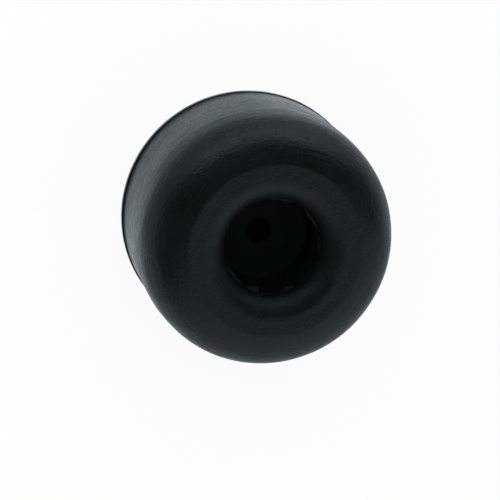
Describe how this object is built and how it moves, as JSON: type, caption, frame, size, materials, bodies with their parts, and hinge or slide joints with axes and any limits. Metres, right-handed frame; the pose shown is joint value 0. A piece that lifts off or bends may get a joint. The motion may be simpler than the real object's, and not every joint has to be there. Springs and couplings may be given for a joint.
{
  "type": "rubber foot",
  "caption": "Round moulded rubber foot with a domed shoulder, a flat tread ring, and a deep centre recess for the head of its fixing screw.",
  "frame": {"origin": "centre of the flat mounting face, the wider end", "axes": "+Z along the foot's axis, from the mounting face to the tread; X and Y lie in the mounting face, and the foot is the same all round"},
  "size_m": [0.04, 0.04, 0.025],
  "materials": {
    "rubber": "satin moulded black rubber with faint turned streaks"
  },
  "bodies": {
    "root": {"rubber_foot": "rubber"}
  },
  "joints": []
}
